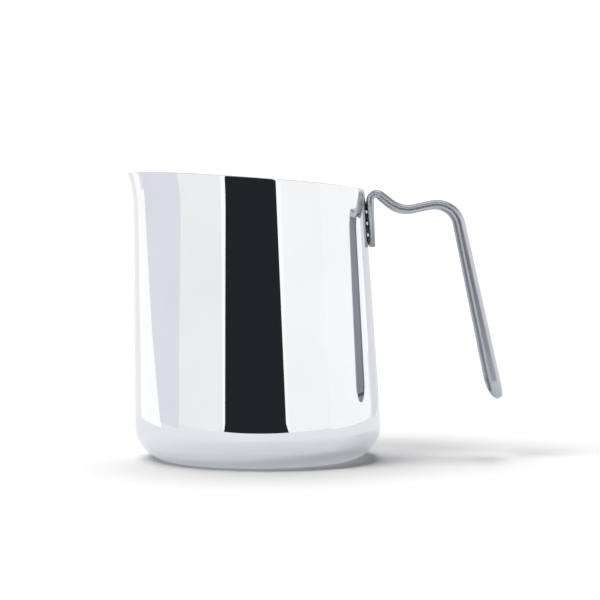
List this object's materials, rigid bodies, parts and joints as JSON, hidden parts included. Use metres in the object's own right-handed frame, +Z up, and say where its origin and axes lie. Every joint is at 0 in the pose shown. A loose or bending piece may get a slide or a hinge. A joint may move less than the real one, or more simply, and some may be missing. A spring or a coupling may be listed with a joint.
{
  "type": "wax pouring pot",
  "caption": "Polished steel pouring pot for melting wax, with a rounded base, a rim that slopes down from a pointed spout, and an open-ended handle pressed from one steel strip and spot welded on below the rim.",
  "frame": {"origin": "middle of the flat base, on the axis of the round lower body, at the level of the surface it stands on", "axes": "+Z up; +X from the pot towards the handle, so the spout points to -X; the handle and the spout lie in the plane Y = 0"},
  "size_m": [0.1372, 0.09, 0.1045],
  "materials": {
    "polished_steel": "mirror polished stainless steel",
    "strip_steel": "tumble polished stainless steel strip",
    "weld_steel": "bare weld metal, slightly dull"
  },
  "bodies": {
    "root": {"pot_body": "polished_steel", "handle_strip": "strip_steel", "spot_welds": "weld_steel"}
  },
  "joints": []
}
